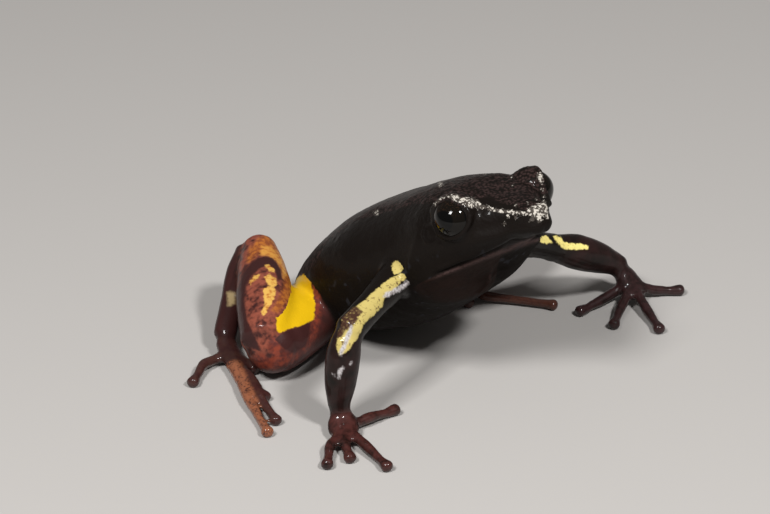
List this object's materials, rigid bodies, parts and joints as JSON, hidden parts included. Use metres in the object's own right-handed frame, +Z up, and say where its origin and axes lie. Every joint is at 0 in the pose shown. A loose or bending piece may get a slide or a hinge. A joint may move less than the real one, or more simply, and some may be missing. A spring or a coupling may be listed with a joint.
{
  "type": "mantella frog model",
  "caption": "Life-size still model of a small dark mantella frog, head raised, on spread fingers and toes, with folded hind legs.",
  "frame": {"origin": "centre of the frog's bounding box in plan, on the level of the flats under its fingers and toes", "axes": "+Z up, -Y the way the snout points, +X the frog's own left"},
  "size_m": [0.029, 0.0226, 0.0131],
  "materials": {
    "head": "moist smooth skin",
    "torso": "moist smooth skin",
    "right_eye": "wet gloss",
    "left_eye": "wet gloss",
    "right_upper_arm": "moist smooth skin",
    "right_forearm": "moist smooth skin",
    "right_thigh": "moist smooth skin",
    "right_shank": "moist smooth skin",
    "right_tarsus": "moist smooth skin",
    "right_hand": "moist smooth skin",
    "right_foot": "moist smooth skin",
    "left_upper_arm": "moist smooth skin",
    "left_forearm": "moist smooth skin",
    "left_thigh": "moist smooth skin",
    "left_shank": "moist smooth skin",
    "left_tarsus": "moist smooth skin",
    "left_hand": "moist smooth skin",
    "left_foot": "moist smooth skin"
  },
  "bodies": {
    "root": {"head": "head", "torso": "torso", "right_eye": "right_eye", "left_eye": "left_eye", "right_upper_arm": "right_upper_arm", "right_forearm": "right_forearm", "right_thigh": "right_thigh", "right_shank": "right_shank", "right_tarsus": "right_tarsus", "right_hand": "right_hand", "right_foot": "right_foot", "left_upper_arm": "left_upper_arm", "left_forearm": "left_forearm", "left_thigh": "left_thigh", "left_shank": "left_shank", "left_tarsus": "left_tarsus", "left_hand": "left_hand", "left_foot": "left_foot"}
  },
  "joints": []
}
